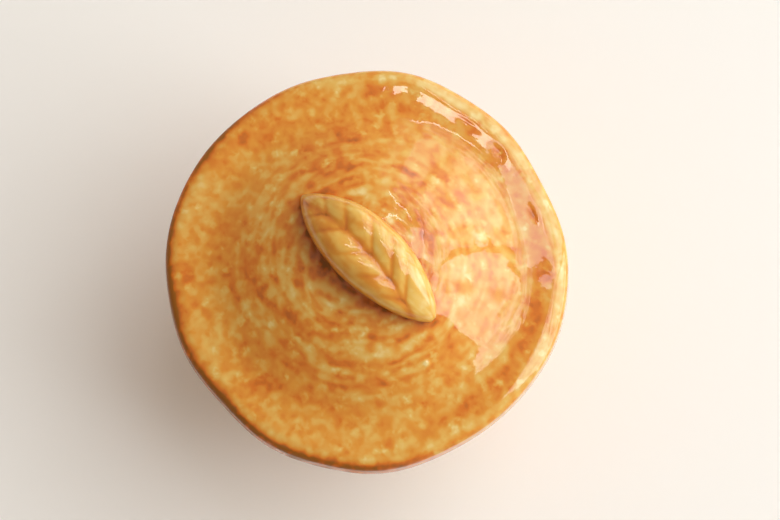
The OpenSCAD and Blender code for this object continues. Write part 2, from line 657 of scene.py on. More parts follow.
@dataclass
class Cup:
    """The thrown cup and the ring that it stands on."""

    glaze: bpy.types.Material
    clay: bpy.types.Material
    noise: ClayNoise
    columns: int = 240
    base_rings: int = 9
    side_rings: int = 70
    lip_rings: int = 7
    inside_rings: int = 50
    floor_rings: int = 14
    bare_rings: int = 3
    hub_r: float = 1.0
    belly: float = 2.4
    wall_t: float = 4.5
    floor_t: float = 5.0
    hip_t: float = 6.0
    base_r: float = 30.0
    base_inset: float = 0.5
    lip_r: float = 1.2
    lip_start: float = 10.0
    throw_pitch: float = 4.2
    throw_depth: float = 0.12
    throw_sway: float = 0.4
    throw_start: Span = (4.0, 12.0)
    throw_end: Span = (44.0, 52.0)
    bare_h: float = 1.8
    bare_wave: float = 0.5
    # Count round the cup, turn in radians and share of each wave in the glaze's edge.
    bare_waves: tuple[tuple[float, float, float], ...] = ((3.0, 0.7, 1.0), (7.0, 2.1, 0.6))
    roll_t: float = 0.35
    roll_h: float = 1.6
    roll_edge: float = 0.5
    roll_rest: float = 0.35
    # How deep the glaze lies, and what thins it or makes it pool.
    plain_pool: float = 0.48
    glaze_marks: tuple[Marks, ...] = (
        Marks(5.0, 0.8, 0.08),
        Marks(2.0, 2.4, 0.09),
        Marks(9.0, 8.0, 0.07),
    )
    mark_step: float = 0.9
    least_mark_r: float = 4.0
    ridge_thin: float = 0.9
    roll_pool: float = 0.30
    roll_pool_h: float = 3.0
    rim_thin: float = 0.25
    rim_span: Span = (1.6, 0.3)
    foot_w: float = 4.0
    foot_taper: float = 1.0
    foot_round: float = 0.7
    tool_marks: Marks = Marks(20.0, 0.5, 0.03)
    tool_step: float = 0.6
    tread_clear: float = 0.01

    def __post_init__(self) -> None:
        """Read the heights and radii that the frame fixes."""
        low, high = node_box("cup_body")
        foot_low, foot_high = node_box("foot_ring")
        self.foot_h = low.z
        self.cup_h = high.z
        self.rim_r = high.x
        self.table_z = foot_low.z
        self.foot_top_r = foot_high.x
        self.mouth_r = self.rim_r - self.wall_t

    def side(self, base: float, rim: float, share: np.ndarray) -> np.ndarray:
        """Give the radius of the side, a share of the way up."""
        return base + (rim - base) * (1.0 - (1.0 - share) ** self.belly)

    def lip(self, middle_r: float, start: float) -> np.ndarray:
        """Round one edge of the rim over a quarter turn.

        Args:
            middle_r: Radius of the middle of the rounding.
            start: The angle at which the quarter turn starts, in degrees.

        Returns:
            Radius and height of each ring.
        """
        angle = np.radians(start + np.linspace(self.lip_start, 90.0, self.lip_rings))
        return np.stack(
            [
                middle_r + self.lip_r * np.cos(angle),
                self.cup_h - self.lip_r + self.lip_r * np.sin(angle),
            ],
            axis=-1,
        )

    def section(self) -> np.ndarray:
        """Go round the cup's section, from under its base to the middle of its floor.

        Returns:
            Radius and height of each ring.
        """
        lip_z = self.cup_h - self.lip_r
        under = np.linspace(self.hub_r, self.base_r - self.base_inset, self.base_rings)
        share = np.linspace(0.0, 1.0, self.side_rings)
        outer_r = self.side(self.base_r, self.rim_r, share)
        outer_z = self.foot_h + share * (lip_z - self.foot_h)
        share_in = np.linspace(1.0, 0.0, self.inside_rings)
        floor_r = self.base_r - self.hip_t
        floor_z = self.foot_h + self.floor_t
        inner_r = self.side(floor_r, self.mouth_r, share_in)
        inner_z = floor_z + share_in * (lip_z - floor_z)
        floor = np.linspace(floor_r, self.hub_r, self.floor_rings)[1:]
        return np.concatenate(
            [
                np.stack([under, np.full_like(under, self.foot_h)], axis=-1),
                np.stack([outer_r, outer_z], axis=-1),
                self.lip(self.rim_r - self.lip_r, 0.0),
                self.lip(self.mouth_r + self.lip_r, 90.0),
                np.stack([inner_r, inner_z], axis=-1),
                np.stack([floor, np.full_like(floor, floor_z)], axis=-1),
            ]
        )

    def body(self) -> bpy.types.Object:
        """Build the cup, glazed inside and out, with a bare base.

        Returns:
            The piece.
        """
        section = self.section()
        height = section[:, 1:]
        row = np.arange(len(section))[:, None]
        last_side = self.base_rings + self.side_rings
        outside = (row >= self.base_rings) & (row < last_side)
        inside = row >= last_side + 2 * self.lip_rings
        angle = np.arange(self.columns) * TURN / self.columns
        rise = np.maximum(height - self.foot_h, 0.0)
        wave = sum(share * np.sin(count * angle + turn) for count, turn, share in self.bare_waves)
        over_edge = rise - (self.bare_h + self.bare_wave * wave)
        past_edge = np.maximum(over_edge, 0.0)
        rings = self.throw_depth * np.sin(
            rise * TURN / self.throw_pitch + self.throw_sway * np.sin(angle)
        )
        rings *= smooth_step(*self.throw_start, rise) * (1.0 - smooth_step(*self.throw_end, rise))
        roll = self.roll_t * smooth_step(0.0, self.roll_edge, over_edge)
        roll *= self.roll_rest + (1.0 - self.roll_rest) * np.exp(-past_edge / self.roll_h)
        rolled = rings - self.throw_depth + roll - self.roll_t * self.roll_rest
        swell = np.where(inside, rings, np.where(outside, rolled, 0.0))
        points = turned(section, self.columns, swell)
        radii = np.maximum(section[:, 0], self.least_mark_r)
        pool = np.full(swell.shape, self.plain_pool)
        for layer in self.glaze_marks:
            pool += layer.share * self.noise.marks(radii, self.columns, self.mark_step, layer)
        pool -= self.ridge_thin * rings
        pool += self.roll_pool * np.exp(-past_edge / self.roll_pool_h) * outside
        below_rim, near_rim = self.rim_span
        pool -= self.rim_thin * smooth_step(self.cup_h - below_rim, self.cup_h - near_rim, height)
        bare = np.zeros(len(section) - 1, bool)
        bare[: self.base_rings + self.bare_rings] = True
        mesh = grid_mesh("cup_body_skin", points, pool, bare)
        return place_piece(mesh, Body.CUP, [self.glaze, self.clay])

    def foot(self) -> bpy.types.Object:
        """Build the bare foot ring, with softened edges and turning marks.

        Returns:
            The piece.
        """
        outer = self.foot_top_r
        tread_r = outer - self.foot_taper
        bore = outer - self.foot_w
        soft = self.foot_round
        corners = [
            (bore, self.foot_h),
            (bore, self.table_z + soft),
            (bore + soft, self.table_z),
            (tread_r - soft, self.table_z),
            (tread_r, self.table_z + soft),
            (outer, self.foot_h),
        ]
        section = ring_section(corners)
        marks = self.noise.marks(section[:, 0], self.columns, self.tool_step, self.tool_marks)
        off_tread = section[:, 1:] > self.table_z + self.tread_clear
        tooled = self.tool_marks.share * marks * off_tread
        points = turned(section, self.columns, np.minimum(tooled, 0.0))
        mesh = grid_mesh("foot_ring_skin", points, loop=True)
        return place_piece(mesh, Body.CUP, [self.clay])


@dataclass
class PieCrustLid:
    """The crowned lid with its rolled edge, and the ring under it."""

    glaze: bpy.types.Material
    clay: bpy.types.Material
    noise: ClayNoise
    columns: int = 760
    row_step: float = 0.34
    over_rings: int = 12
    wall_rings: int = 9
    drip_rings: int = 8
    ceiling_rings: int = 14
    ring_columns: int = 240
    mean_r: float = 49.97
    brim_t: float = 6.5
    crown_h: float = 9.0
    crown_r: float = 37.5
    shoulder_r: float = 18.5
    foot_blend: float = 1.8
    shoulder_blend: float = 2.2
    hub_r: float = 8.0
    land_r: float = 11.5
    fall_r: float = 45.0
    fall_turn: float = 17.0
    edge_top_r: float = 2.4
    edge_turn: float = 65.0
    edge_lean: float = 0.5
    edge_rise: float = 1.2
    edge_low_r: float = 2.2
    wall_power: float = 1.5
    drape: float = 1.5
    drape_clear: float = 0.9
    shell_t: float = 5.0
    ring_w: float = 4.0
    ring_taper: float = 0.5
    hollow_inset: float = 1.0
    flat_depth: float = 1.0
    flat_count: int = 4
    flat_turn: float = 33.0
    oval_depth: float = 0.6
    oval_turn: float = 155.0
    ripple_depth: float = 0.3
    ripple_counts: tuple[int, ...] = (5, 9, 11)
    ripple_turns: tuple[float, ...] = (156.0, 48.0, -113.0)
    cove_h: float = 1.5
    cove_r: float = 2.2
    pressed_at: tuple[float, ...] = (41.0, 98.5, 120.5, 176.5)
    deep_pressed_at: tuple[float, ...] = (61.0, 84.5)
    press_r: float = 44.2
    press_depth: float = 0.09
    deep_press: float = 2.4
    press_reach: Span = (1.3, 2.4)
    deep_reach: Span = (1.3, 2.2)
    # The other dents: their turns, how far each strays, and shares of the usual size.
    press_turns: Span = (196.0, 396.0)
    press_pitch: float = 17.0
    press_stray: float = 5.0
    press_stray_r: float = 0.8
    press_widths: Span = (0.8, 1.2)
    press_lengths: Span = (0.7, 1.4)
    press_shares: Span = (0.5, 1.0)
    # Radius, turn and reach of each dark pool and each pimple.
    pooled_at: tuple[tuple[float, float, float], ...] = (
        (22.6, 262.0, 1.6),
        (44.6, 177.0, 1.5),
        (43.6, 132.5, 1.7),
        (19.0, 96.0, 1.2),
        (15.0, 66.0, 1.5),
        (15.8, 53.0, 1.5),
    )
    pimples: tuple[tuple[float, float, float], ...] = ((28.8, 56.5, 1.4), (28.8, -16.0, 0.7))
    pimple_rise: float = 0.42
    brim_calm: float = 0.03
    far_turn: float = 158.0
    shade_turn: float = 250.0
    pale_turn: float = 278.0
    window_turn: float = 24.0
    rim_turn: float = 66.0
    # Reach of the pooled glaze and painted shadow round the leaf, and of its tighter dark seam.
    leaf_shadow_reach: float = 2.4
    seam_pool_and_shadow: float = 1.6
    seam_shadow_reach: float = 0.9
    leaf_point: float = 0.76
    # The layers of marks, in the order in which they are drawn.
    wander: Marks = Marks(4.0, 2.0, 1.2)
    strokes: Marks = Marks(0.9, 0.42, 0.13)
    bands: Marks = Marks(2.0, 0.45, 0.09)
    lines: Marks = Marks(10.0, 0.36, 0.03)
    spots: Marks = Marks(0.5, 0.62, 0.04)
    blots: Marks = Marks(1.2, 1.2, 0.04)
    broad: Marks = Marks(7.0, 5.0, 0.04)
    lumps: Marks = Marks(4.0, 2.2, 0.05)
    pits: Marks = Marks(1.9, 1.3, 0.015)
    rim_wave: Marks = Marks(5.0, 1.0, 0.35)
    under_marks: Marks = Marks(4.0, 4.0, 0.1)
    under_step: float = 2.0
    tool_marks: Marks = Marks(20.0, 0.6, 0.03)
    tool_step: float = 0.8
    # Radii over which something fades in or out.
    brushed_r: Span = (24.0, 37.0)
    spotted_r: Span = (27.0, 37.0)
    brim_r: Span = (36.0, 42.0)
    lit_rim_r: Span = (45.8, 47.2)
    lit_rim_end_r: Span = (48.0, 48.8)
    lumpy_r: Span = (10.0, 15.0)
    outline_r: Span = (33.0, 44.0)
    # Middle radius and reach of each band.
    middle_band: Span = (30.0, 8.0)
    ribbon_band: Span = (42.6, 1.9)
    rim_band: Span = (46.2, 0.8)
    wave_band: Span = (45.8, 1.6)
    # Depths below the brim over which its edge and then its wall begin.
    edge_fall: Span = (0.05, 0.75)
    wall_fall: Span = (2.0, 3.2)
    # How deep the glaze lies, what thins it or makes it pool, and the painted shade, shadow,
    # highlight and reflection that the same value carries.
    plain_pool: float = 0.495
    most_pool: float = 0.78
    contrast: float = 1.2
    rim_calm: float = 0.2
    middle_pool: float = 0.04
    far_pool: float = 0.03
    pale_thin: float = 0.08
    # Painted reflection: the crown drawn paler on its window side.
    window_reflection_pale: float = 0.11
    window_power: float = 12.0
    placed_pool: float = 0.32
    placed_stretch: float = 1.5
    # Painted shade beside the reflected ribbon, on the window side.
    ribbon_shade: float = 0.26
    ribbon_power: float = 4.0
    # Painted shade inside the rim, on the window side.
    rim_band_shade: float = 0.05
    # Painted highlight on the rim's window side.
    lit_rim_highlight: float = 0.3
    lit_rim_end: float = 0.5
    lit_rim_power: float = 1.5
    # Pooled glaze and painted shadow round the foot of the leaf.
    leaf_pool_and_shadow: float = 0.16
    press_pool: float = 0.11
    # Painted shade on the brim's falling edge, on the side away from the window, eased on the
    # wall.
    edge_painted_shade: float = 0.58
    edge_lit: float = 0.05
    edge_shade: Span = (0.35, 0.75)
    wall_shade_ease: float = 0.15
    pimple_thin: float = 0.6
    under_pool: float = 0.45

    def __post_init__(self) -> None:
        """Read the heights and radii that the frame fixes."""
        cup_high = node_box("cup_body")[1]
        ring_low, ring_high = node_box("lid_locating_ring")
        self.seat_z = cup_high.z
        self.rim_r = cup_high.x
        self.brim_z = self.seat_z + self.brim_t
        self.edge_z = self.seat_z + self.edge_rise
        self.slope = self.crown_h / (self.crown_r - self.shoulder_r)
        self.ring_r = ring_high.x
        self.ring_low_z = ring_low.z
        self.ring_bore_r = self.ring_r - self.ring_w
        self.angle = np.arange(self.columns) * TURN / self.columns

    def top_z(self, radius: np.ndarray) -> np.ndarray:
        """Give the height of the lid's top face.

        Args:
            radius: Radius of each ring.

        Returns:
            Height of each ring, before the cove and the fall of the brim.
        """
        reach = np.maximum(radius, self.land_r)
        foot = np.logaddexp(0.0, (self.crown_r - reach) / self.foot_blend) * self.foot_blend
        flat = np.logaddexp(0.0, (self.shoulder_r - reach) / self.shoulder_blend)
        return self.brim_z + self.slope * (foot - flat * self.shoulder_blend)

    def outline(self) -> np.ndarray:
        """Shape the outline as a hand did.

        Returns:
            How far it departs from a circle, all round.
        """
        depart = self.flat_depth / 2.0 * np.cos(
            self.flat_count * (self.angle - math.radians(self.flat_turn))
        )
        depart += self.oval_depth / 2.0 * np.cos(2.0 * (self.angle - math.radians(self.oval_turn)))
        for count, turn in zip(self.ripple_counts, self.ripple_turns):
            depart += self.ripple_depth / 2.0 * np.cos(count * self.angle - math.radians(turn))
        return depart

    def top_section(self) -> np.ndarray:
        """Go over the top, from the hub round to the drip edge.

        Returns:
            Radius and height of each ring.
        """
        turn = np.radians(np.linspace(self.fall_turn, self.edge_turn, self.over_rings))
        bulge = self.edge_top_r * (np.sin(turn) - np.sin(turn[0]))
        brim_r = self.mean_r - self.edge_lean - bulge[-1]
        radius = np.append(np.arange(self.hub_r, brim_r, self.row_step), brim_r)
        cove = self.cove_h * np.exp(-(radius - self.hub_r) / self.cove_r)
        past = np.maximum(radius - self.fall_r, 0.0)
        brim_fall = math.tan(turn[0]) / 2.0 * past**2 / (brim_r - self.fall_r)
        crown = np.stack([radius, self.top_z(radius) + cove - brim_fall], axis=-1)
        over = crown[-1] + np.stack(
            [bulge, self.edge_top_r * (np.cos(turn) - np.cos(turn[0]))], axis=-1
        )
        fall = np.linspace(0.0, 1.0, self.wall_rings)[1:, None] ** self.wall_power
        wall = over[-1] + fall * (np.array([self.mean_r, self.edge_z]) - over[-1])
        turn = np.radians(np.linspace(0.0, 90.0, self.drip_rings))[1:]
        low_z = self.seat_z - self.drape
        under = np.stack(
            [
                self.mean_r - self.edge_low_r * (1.0 - np.cos(turn)),
                self.edge_z - (self.edge_z - low_z) * np.sin(turn),
            ],
            axis=-1,
        )
        return np.concatenate([crown, over[1:], wall, under])

    def seat_section(self) -> np.ndarray:
        """Go in from the drip edge, over the bare seat.

        Returns:
            Radius and height of each ring.
        """
        wall_r = self.rim_r + self.drape_clear
        return np.array(
            [
                [wall_r, self.seat_z - self.drape / 2.0],
                [wall_r, self.seat_z],
                [self.ring_r, self.seat_z],
                [self.ring_bore_r, self.seat_z],
            ]
        )

    def ceiling_section(self) -> np.ndarray:
        """Go in under the crown, from the seat to the hub.

        Returns:
            Radius and height of each ring.
        """
        hollow_r = self.ring_bore_r - self.hollow_inset
        radius = np.linspace(hollow_r, self.hub_r, self.ceiling_rings)
        return np.stack([radius, self.top_z(radius) - self.shell_t], axis=-1)

    def facing(self, turn: float) -> np.ndarray:
        """Give 1 on the side at a turn, falling to 0 on the opposite side."""
        return 0.5 + 0.5 * np.cos(self.angle - math.radians(turn))

    def fallen(self, section: np.ndarray, fall: Span) -> np.ndarray:
        """Give 0 on the brim, rising to 1 between two depths below it."""
        return smooth_step(self.brim_z - fall[0], self.brim_z - fall[1], section[:, 1:])

    def grain(self, section: np.ndarray, layer: Marks) -> np.ndarray:
        """Draw one layer of marks on top rings, with a spread of 1."""
        return self.noise.marks(section[:, 0], self.columns, self.row_step, layer)

    def touch(
        self, section: np.ndarray, at_r: float, turn: float, across: float, along: float
    ) -> np.ndarray:
        """Give a soft oval mark of height 1 on the top face.

        Args:
            section: Radius and height of the top rings.
            at_r: Radius of the mark's middle.
            turn: Direction of the mark's middle, in degrees.
            across: Half-width of the mark from ring to ring.
            along: Half-length of the mark round its ring.

        Returns:
            The mark's height at every point.
        """
        aside = (self.angle - math.radians(turn) + math.pi) % TURN - math.pi
        return hump(at_r, across, section[:, :1]) * hump(0.0, along, aside[None, :] * at_r)

    def presses(self, section: np.ndarray) -> np.ndarray:
        """Give how deep the fingertip dents are along the brim.

        Args:
            section: Radius and height of the top rings.

        Returns:
            The depth at every point, where 1 is the usual depth.
        """
        rng = self.noise.rng
        spread = np.arange(*self.press_turns, self.press_pitch)
        spread += rng.uniform(-self.press_stray, self.press_stray, len(spread))
        dents = np.zeros((len(section), self.columns))
        for turn in [*self.pressed_at, *spread]:
            at_r = self.press_r + rng.uniform(-self.press_stray_r, self.press_stray_r)
            across = self.press_reach[0] * rng.uniform(*self.press_widths)
            along = self.press_reach[1] * rng.uniform(*self.press_lengths)
            share = rng.uniform(*self.press_shares)
            dents += share * self.touch(section, at_r, turn, across, along)
        for turn in self.deep_pressed_at:
            dents += self.deep_press * self.touch(section, self.press_r, turn, *self.deep_reach)
        return dents

    def pool_and_shadow_near_leaf(self, radius: np.ndarray) -> np.ndarray:
        """Find where glaze gathers on the lid round the foot of the leaf, and where the leaf's
        painted shadow lies.

        Args:
            radius: Radius of each top ring.

        Returns:
            The most under the leaf, falling to 0 away from its outline.
        """
        low, high = node_box("leaf_knob")
        x = radius * np.cos(self.angle)
        y = radius * np.sin(self.angle)
        along = np.clip(x / high.x, -1.0, 1.0)
        half = (high.y - low.y) / 2.0 * (1.0 - along * along) ** self.leaf_point
        past_side = np.maximum(np.abs(y - (high.y + low.y) / 2.0) - half, 0.0)
        past_end = np.maximum(np.abs(x) - high.x, 0.0)
        past = np.hypot(past_side, past_end)
        return hump(0.0, self.leaf_shadow_reach, past) + self.seam_pool_and_shadow * hump(0.0, self.seam_shadow_reach, past)

    def brushwork(self, section: np.ndarray) -> np.ndarray:
        """Brush the glaze on, in strokes on the crown and spots on the brim.

        Args:
            section: Radius and height of the top rings.

        Returns:
            How deep the brushed glaze lies at every point.
        """
        radius = section[:, :1]
        wander = self.wander.share * self.grain(section, self.wander)
        strokes = sway(self.grain(section, self.strokes), wander)
        bands = sway(self.grain(section, self.bands), wander)
        lines = sway(self.grain(section, self.lines), wander)
        spots = self.grain(section, self.spots)
        blots = self.grain(section, self.blots)
        broad = self.grain(section, self.broad)
        brushed = 1.0 - smooth_step(*self.brushed_r, radius)
        brushed = brushed * (1.0 - self.rim_calm * self.facing(self.rim_turn) ** 2)
        broken = self.strokes.share * np.tanh(self.contrast * strokes)
        spotted = smooth_step(*self.spotted_r, radius) * self.spots.share
        pool = self.plain_pool + self.blots.share * blots + self.broad.share * broad
        pool += brushed * (broken + self.bands.share * bands)
        pool += hump(*self.middle_band, radius) * (self.middle_pool + self.lines.share * lines)
        pool += spotted * np.tanh(self.contrast * spots)
        return pool

    def lumpiness(self, section: np.ndarray) -> np.ndarray:
        """Raise the soft lumps and pits of clay smoothed by hand, less on the brim.

        Args:
            section: Radius and height of the top rings.

        Returns:
            The rise at every point.
        """
        brim = smooth_step(*self.brim_r, section[:, :1])
        lumps = self.grain(section, self.lumps)
        pits = self.grain(section, self.pits)
        rise = (self.lumps.share - self.brim_calm * brim) * lumps
        return rise + self.pits.share * (1.0 - brim) * pits

    def fired(self, pool: np.ndarray, section: np.ndarray, dents: np.ndarray) -> np.ndarray:
        """Let the brushed glaze run thin on raised clay and pool in the low places, and
        paint in light and shade: painted shade on the edge away from the window,
        painted shadow round the leaf, and a painted highlight and painted reflection
        on the window side.

        Args:
            pool: How deep the brushed glaze lies.
            section: Radius and height of the top rings.
            dents: How deep the fingertip dents are.

        Returns:
            How deep the fired glaze lies at every point, with the painted light and shade added.
        """
        radius = section[:, :1]
        brim = smooth_step(*self.brim_r, radius)
        by_window = self.facing(self.window_turn)
        by_rim = self.facing(self.rim_turn)
        far = self.far_pool * self.facing(self.far_turn)
        pool = pool + (far - self.pale_thin * brim * self.facing(self.pale_turn) ** 2)
        # Painted reflection: the crown is drawn paler on its window side, where the window's
        # reflection lies.
        pool -= self.window_reflection_pale * (1.0 - brim) * by_window**self.window_power
        for at_r, turn, reach in self.pooled_at:
            along = self.placed_stretch * reach
            pool += self.placed_pool * self.touch(section, at_r, turn, reach, along)
        # Painted shade: a darker orange band on the brim near the crown's foot, on the window side
        # only, where that slope catches no reflection.
        pool += self.ribbon_shade * hump(*self.ribbon_band, radius) * by_window**self.ribbon_power
        # Painted shade: a faint darker band just inside the rim, on the window side.
        pool += self.rim_band_shade * hump(*self.rim_band, radius) * by_rim**2
        # Painted highlight: the top of the rim is drawn paler on the window side.
        lit_rim = 1.0 - self.lit_rim_end * smooth_step(*self.lit_rim_end_r, radius)
        lit_rim = smooth_step(*self.lit_rim_r, radius) * lit_rim
        pool -= self.lit_rim_highlight * lit_rim * by_rim**self.lit_rim_power
        pool = np.minimum(pool, self.most_pool)
        # Pooled glaze and painted shadow: darker glaze all round the leaf's outline, with a
        # tighter dark seam at its edge.
        pool += self.leaf_pool_and_shadow * self.pool_and_shadow_near_leaf(radius)
        pool += self.press_pool * dents
        # Painted shade: the brim's falling edge and wall are drawn dark brown on the side away
        # from the window, a little less on the wall and hardly at all on the lit side.
        shaded = smooth_step(*self.edge_shade, self.facing(self.shade_turn))
        shaded = self.edge_lit + (1.0 - self.edge_lit) * shaded
        edge = self.edge_painted_shade * self.fallen(section, self.edge_fall) * shaded
        pool += edge * (1.0 - self.wall_shade_ease * self.fallen(section, self.wall_fall))
        for at_r, turn, reach in self.pimples:
            pool -= self.pimple_thin * self.touch(section, at_r, turn, reach, reach)
        return pool

    def crust(self) -> bpy.types.Object:
        """Build the glazed shell with its brushed crown and dented brim.

        Returns:
            The piece.
        """
        top = self.top_section()
        seat = self.seat_section()
        under = np.concatenate([seat, self.ceiling_section()])
        radius = top[:, :1]
        brushed = self.brushwork(top)
        relief = self.lumpiness(top)
        dents = self.presses(top)
        pool = self.fired(brushed, top, dents)
        relief -= self.press_depth * dents
        for at_r, turn, reach in self.pimples:
            relief += self.pimple_rise * reach * self.touch(top, at_r, turn, reach, reach)
        relief *= smooth_step(*self.lumpy_r, radius) * (1.0 - self.fallen(top, self.edge_fall))
        slope = np.gradient(top, axis=0)
        slope /= np.linalg.norm(slope, axis=1, keepdims=True)
        out_r, out_z = -slope[:, 1:], slope[:, :1]
        wave = self.rim_wave.share * self.grain(top[-1:], self.rim_wave)
        swell = self.outline() * smooth_step(*self.outline_r, radius)
        swell += wave * hump(*self.wave_band, radius)
        points = turned(top, self.columns, swell - out_r * relief)
        points[..., 2] += out_z * relief
        points = np.concatenate([points, turned(under, self.columns)])
        marks = self.noise.marks(under[:, 0], self.columns, self.under_step, self.under_marks)
        under_pool = self.under_pool + self.under_marks.share * marks
        bare = np.zeros(len(points) - 1, bool)
        bare[len(top) - 1 : len(top) + len(seat)] = True
        mesh = grid_mesh("lid_crust_skin", points, np.concatenate([pool, under_pool]), bare)
        return place_piece(mesh, Body.LID, [self.glaze, self.clay])

    def locating_ring(self) -> bpy.types.Object:
        """Build the bare ring that drops into the mouth, with softened edges.

        Returns:
            The piece.
        """
        taper = self.ring_taper
        corners = [
            (self.ring_bore_r, self.seat_z),
            (self.ring_r, self.seat_z),
            (self.ring_r - taper, self.ring_low_z + taper),
            (self.ring_r - 2.0 * taper, self.ring_low_z),
            (self.ring_bore_r + taper, self.ring_low_z),
            (self.ring_bore_r, self.ring_low_z + taper),
        ]
        section = ring_section(corners)
        columns = self.ring_columns
        marks = self.noise.marks(section[:, 0], columns, self.tool_step, self.tool_marks)
        points = turned(section, columns, np.minimum(self.tool_marks.share * marks, 0.0))
        mesh = grid_mesh("lid_locating_ring_skin", points, loop=True)
        return place_piece(mesh, Body.LID, [self.clay])


@dataclass
class LeafKnob:
    """The pressed leaf and the short stem that carries it."""

    leaf_glaze: bpy.types.Material
    stem_glaze: bpy.types.Material
    noise: ClayNoise
    stations: int = 170
    sides: int = 112
    thick: float = 7.9
    edge_t: float = 3.0
    flat: float = 0.28
    point: float = 0.73
    skew: float = 0.06
    bend_power: float = 1.5
    under_round: float = 1.5
    edge_thinning: float = 0.5
    crown_thinning: float = 0.6
    crown_power: float = 3.0
    end: float = 0.985
    veins_at: tuple[float, ...] = (-13.0, -6.6, 2.0, 9.3, 15.0)
    valley_depth: float = 0.7
    valley_w: float = 3.0
    midrib_depth: float = 0.16
    midrib_w: float = 0.6
    side_depth: float = 0.24
    side_w: float = 1.3
    crease_depth: float = 0.06
    crease_w: float = 0.45
    midrib_bow: tuple[float, float, float] = (-0.2, -0.075, -0.0066)
    vein_stagger: float = 0.9
    stem_waist: Span = (5.0, 4.4)
    stem_columns: int = 96
    stem_rings: int = 16
    stem_pool: float = 0.68
    # How deep the glaze lies, what thins it or makes it pool, and the painted shade on the leaf's
    # shaded flank and underside.
    plain_pool: float = 0.33
    mottle: Marks = Marks(0.8, 0.9, 0.06)
    mottle_step: float = 0.3
    mottle_r: float = 12.0
    base_thin: float = 0.1
    # Painted shade on the leaf's flank away from the window.
    flank_painted_shade: float = 0.16
    groove_pool: float = 0.4
    groove_spread: float = 1.5
    crease_pool: float = 0.32
    crease_spread: float = 1.3
    crease_reach: float = 6.5
    joint_pool: float = 0.24
    end_pool: float = 0.04
    end_span: Span = (0.86, 0.99)
    # Painted shade on the leaf's underside and low sides, more on the shaded flank.
    under_pool: float = 0.34
    under_flank_painted_shade: float = 0.2
    underside_shade_span: Span = (0.45, -0.1)

    def __post_init__(self) -> None:
        """Read the places that the frame fixes."""
        low, high = node_box("leaf_knob")
        stem_low, stem_high = node_box("knob_stem")
        self.length = high.x - low.x
        self.width = high.y - low.y
        self.off_y = (high.y + low.y) / 2.0
        self.land_z = stem_low.z
        self.stem_top_z = stem_high.z
        self.stem_foot = (stem_high.x, stem_high.y)
        bent_at_end = ((self.end - self.flat) / (1.0 - self.flat)) ** self.bend_power
        self.droop = (stem_high.z - low.z) / bent_at_end

    def half_width(self, u: np.ndarray) -> np.ndarray:
        """Give the leaf's half-width, from -1 at its tip to 1 at its base."""
        return self.width / 2.0 * (1.0 - u * u) ** (self.point - self.skew * u)

    def bend(self, u: np.ndarray) -> np.ndarray:
        """Give how far the leaf has bent down."""
        past = np.maximum(0.0, np.abs(u) - self.flat) / (1.0 - self.flat)
        return self.droop * past**self.bend_power

    def veins(self, x: np.ndarray, y: np.ndarray) -> tuple[np.ndarray, np.ndarray]:
        """Measure how far each point lies from the pressed veins.

        Args:
            x: Place along the leaf.
            y: Place across the leaf.

        Returns:
            The distance across from the midrib and from the nearest side vein.
        """
        level, lean, curl = self.midrib_bow
        across = y - (level + lean * x + curl * x * x)
        along = x + np.abs(across) + np.where(across < 0.0, self.vein_stagger, 0.0)
        off = np.abs(along[..., None] - np.array(self.veins_at)).min(axis=-1)
        return across, off * math.sqrt(0.5)

    def leaf(self) -> bpy.types.Object:
        """Build the leaf with its pillowed lobes.

        Returns:
            The piece.
        """
        turn = np.linspace(-math.pi / 2.0, math.pi / 2.0, self.stations)
        u = (self.end * np.sin(turn))[:, None]
        around = (np.arange(self.sides) * TURN / self.sides)[None, :]
        half = self.half_width(u)
        full = half / (self.width / 2.0)
        low_t = self.edge_t * full**self.edge_thinning
        top_t = (self.thick - self.edge_t) * full**self.crown_thinning
        x = u / self.end * self.length / 2.0 + np.zeros_like(around)
        y = half * np.cos(around)
        up = np.sin(around)
        shown = np.sqrt(np.maximum(up, 0.0))
        across, off = self.veins(x, y)
        midrib = hump(0.0, self.midrib_w, across)
        side = hump(0.0, self.side_w, off)
        press = self.valley_depth * hump(0.0, self.valley_w, across)
        press += self.midrib_depth * midrib + self.side_depth * side
        press += self.crease_depth * hump(0.0, self.crease_w, off)
        press = press * full * shown
        dome = np.sqrt(1.0 - np.abs(np.cos(around)) ** self.crown_power)
        crown = np.where(up > 0.0, top_t * dome - press, self.under_round * low_t * up)
        z = self.stem_top_z - self.bend(u) + np.maximum(0.0, low_t + crown)
        points = np.stack([x, y + self.off_y, z], axis=-1)
        radii = np.full(self.stations, self.mottle_r)
        mottle = self.noise.marks(radii, self.sides, self.mottle_step, self.mottle)
        groove = hump(0.0, self.groove_spread * self.midrib_w, across)
        crease = hump(0.0, self.crease_spread * self.crease_w, off)
        crease = crease * hump(0.0, self.crease_reach, across)
        # Painted shade: the leaf's flank on the side away from the window is drawn darker.
        shaded_flank = np.maximum(-np.cos(around), 0.0)
        pool = self.plain_pool - self.base_thin * u + self.flank_painted_shade * shaded_flank**2
        pool = pool + self.mottle.share * mottle
        pool += shown * np.maximum(self.groove_pool * groove, self.crease_pool * crease)
        pool += self.joint_pool * shown * groove * crease
        pool += self.end_pool * smooth_step(*self.end_span, np.abs(u))
        # Painted shade: the leaf's underside and low sides are drawn darker, more on the shaded
        # flank.
        under = self.under_pool + self.under_flank_painted_shade * shaded_flank
        pool += under * smooth_step(*self.underside_shade_span, up)
        mesh = grid_mesh("leaf_knob_skin", points, pool)
        return place_piece(mesh, Body.LID, [self.leaf_glaze])

